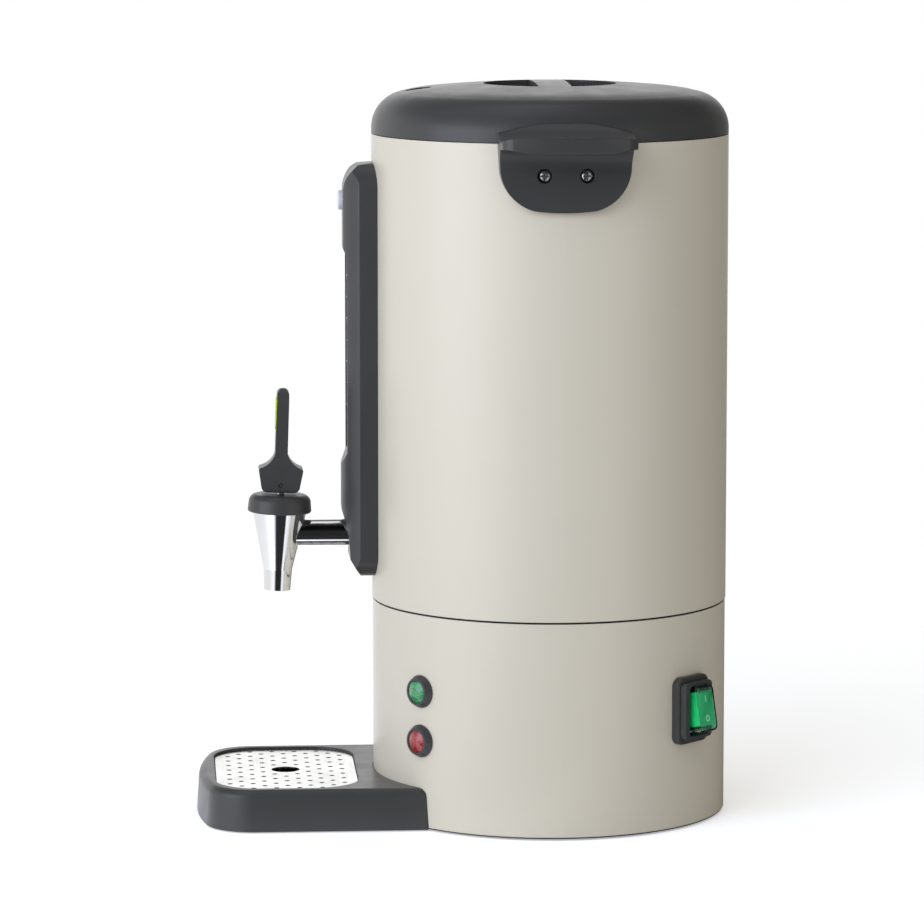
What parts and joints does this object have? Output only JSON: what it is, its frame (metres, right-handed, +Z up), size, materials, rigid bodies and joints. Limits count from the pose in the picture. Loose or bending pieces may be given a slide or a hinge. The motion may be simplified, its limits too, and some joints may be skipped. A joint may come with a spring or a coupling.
{
  "type": "coffee urn",
  "caption": "Tall round percolator coffee urn with a beige metal body, black twist lid, two side handles, level gauge, chrome lever tap and drip tray.",
  "frame": {"origin": "on the tank's vertical axis, at the height of the surface that the feet stand on", "axes": "+Z up, -Y towards the tap and the drip tray, +X and -X towards the carrying handles"},
  "size_m": [0.307, 0.3299, 0.4526],
  "materials": {
    "body_enamel": "satin coat, warm grey beige, stainless inside",
    "black_plastic": "satin moulded plastic",
    "black_metal": "black coated sheet",
    "chrome": "polished",
    "stainless": "brushed",
    "fastener_steel": "zinc plated",
    "brass": "plain turned",
    "cast_aluminium": "cast",
    "black_rubber": "matt",
    "clear_silicone": "translucent white silicone",
    "sight_glass": "clear borosilicate",
    "scale_plate": "white plate with plain numbers",
    "cap_grey": "pale grey",
    "green_lens": "translucent green",
    "red_lens": "translucent red",
    "green_rocker": "translucent green",
    "clear_boot": "soft clear hood, tinted by the rocker",
    "lime": "lime green inlay",
    "terminal_plastic": "cream",
    "wire_jacket": "heat-proof insulation"
  },
  "bodies": {
    "urn": {"tank": "body_enamel", "rim_ring": "black_plastic", "seam_gasket": "black_rubber", "base_skirt": "body_enamel", "bottom_cover": "black_metal", "rubber_feet": "black_rubber", "tie_rods": "fastener_steel", "hex_nuts": "fastener_steel", "well_cup": "stainless", "heater_plate": "cast_aluminium", "heating_element": "stainless", "heater_clamp": "fastener_steel", "keep_warm_thermostat": "black_plastic", "boil_dry_cutout": "black_plastic", "terminal_block": "terminal_plastic", "wiring": "wire_jacket", "cord_gland": "black_plastic", "gland_nut": "black_plastic", "lamp_bodies": "black_plastic", "lamp_lens_green": "green_lens", "lamp_lens_red": "red_lens", "lamp_nuts": "black_plastic", "switch_plate": "black_plastic", "switch_housing": "black_plastic", "handle_right": "black_plastic", "handle_left": "black_plastic", "handle_screws": "fastener_steel", "handle_nut_plates": "stainless", "gauge_housing": "black_plastic", "gauge_screw": "fastener_steel", "gauge_nut": "fastener_steel", "gauge_cap": "cap_grey", "gauge_tee": "brass", "gauge_scale": "scale_plate", "sight_tube": "sight_glass", "tube_bushes": "clear_silicone", "tap_body": "chrome", "shank_washers": "clear_silicone", "shank_nut": "brass", "tap_bonnet": "black_plastic", "tap_spring": "stainless"},
    "lid_seal": {"lid_gasket": "clear_silicone"},
    "lid": {"lid_shell": "black_plastic", "lid_liner": "black_plastic", "lid_screws": "fastener_steel"},
    "tap_stem": {"valve_stem": "stainless", "seat_cup": "clear_silicone"},
    "lever": {"tap_lever": "black_plastic", "lever_insert": "lime", "lever_pin": "stainless"},
    "switch_rocker": {"rocker": "green_rocker", "switch_boot": "clear_boot"},
    "pump": {"pump_tube": "stainless"},
    "pump_valve": {"valve_washer": "stainless"},
    "basket": {"coffee_basket": "stainless"},
    "spreader": {"basket_lid": "stainless"},
    "tray": {"drip_tray": "black_plastic", "tray_pads": "black_rubber"},
    "grid": {"drip_grid": "stainless"}
  },
  "joints": [
    {"name": "lid_lift", "type": "slide", "parent": "urn", "child": "lid_seal", "axis": [0, 0, 1], "range_m": [0, 0.42]},
    {"name": "lid_turn", "type": "hinge", "parent": "lid_seal", "child": "lid", "pos_m": [0, 0, 0.424], "axis": [0, 0, -1], "range_deg": [0, 24]},
    {"name": "stem_lift", "type": "slide", "parent": "urn", "child": "tap_stem", "axis": [0, 0.0349, 0.9994], "range_m": [0, 0.0024], "deforming": ["tap_spring"]},
    {"name": "lever_tilt", "type": "hinge", "parent": "tap_stem", "child": "lever", "pos_m": [0, -0.16692, 0.20438], "axis": [1, 0, 0], "range_deg": [0, 30], "stiffness_Nm_per_rad": 0.05, "springref_deg": -34.38},
    {"name": "rocker_tilt", "type": "hinge", "parent": "urn", "child": "switch_rocker", "pos_m": [0.0771, 0.08124, 0.074], "axis": [-0.7254, 0.6884, 0], "range_deg": [0, 18.2]},
    {"name": "pump_lift", "type": "slide", "parent": "urn", "child": "pump", "axis": [0, 0, 1], "range_m": [0, 0.294]},
    {"name": "washer_lift", "type": "slide", "parent": "pump", "child": "pump_valve", "axis": [0, 0, 1], "range_m": [0, 0.002]},
    {"name": "basket_lift", "type": "slide", "parent": "pump", "child": "basket", "axis": [0, 0, 1], "range_m": [0, 0.084]},
    {"name": "spreader_lift", "type": "slide", "parent": "basket", "child": "spreader", "axis": [0, 0, 1], "range_m": [0, 0.021]},
    {"name": "tray_slide", "type": "slide", "parent": "urn", "child": "tray", "axis": [0, -1, 0], "range_m": [0, 0.08]},
    {"name": "grid_lift", "type": "slide", "parent": "tray", "child": "grid", "axis": [0, 0, 1], "range_m": [0, 0.03]}
  ],
  "couplings": [
    {"joint": "stem_lift", "follows": "lever_tilt", "m_per_rad": 0.0044},
    {"joint": "pump_lift", "follows": "lid_lift", "ratio": 0.7},
    {"joint": "basket_lift", "follows": "lid_lift", "ratio": 0.2},
    {"joint": "spreader_lift", "follows": "lid_lift", "ratio": 0.05}
  ]
}
